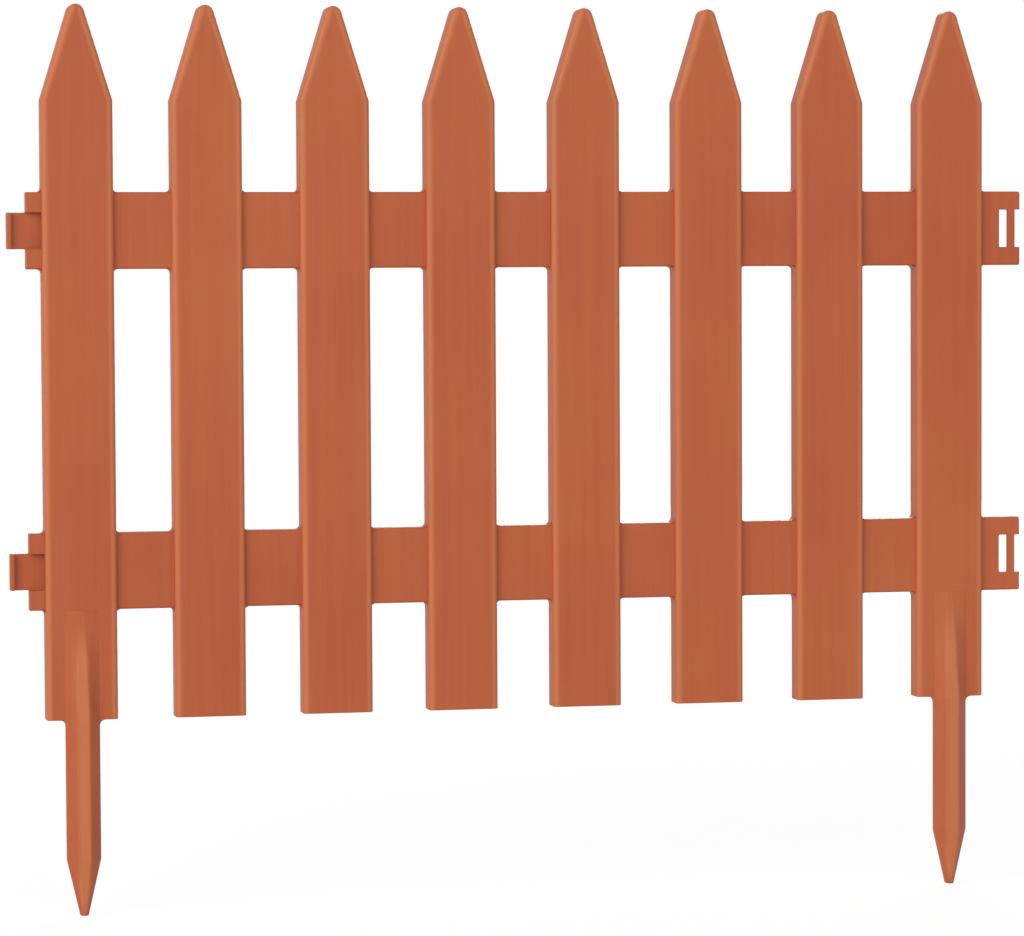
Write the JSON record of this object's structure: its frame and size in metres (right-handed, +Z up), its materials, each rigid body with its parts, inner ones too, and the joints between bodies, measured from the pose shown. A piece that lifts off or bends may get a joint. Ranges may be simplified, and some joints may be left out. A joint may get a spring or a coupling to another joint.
{
  "type": "plastic picket garden fence section",
  "caption": "Low moulded-plastic picket fence section with pointed pickets on two rails, ground stakes below, hooks at one end and matching eyes at the other for joining sections in a row.",
  "frame": {"origin": "middle of the foot of the fourth picket from the hook end, on the ground line, half way through the picket's depth", "axes": "+X along the fence from the hooks to the eyes, +Y from the smooth front face to the open back, +Z up out of the ground"},
  "size_m": [0.4642, 0.015, 0.4005],
  "materials": {
    "terracotta_plastic": "moulded terracotta polypropylene, satin, with faint flow streaks"
  },
  "bodies": {
    "root": {"fence_section": "terracotta_plastic"}
  },
  "joints": []
}
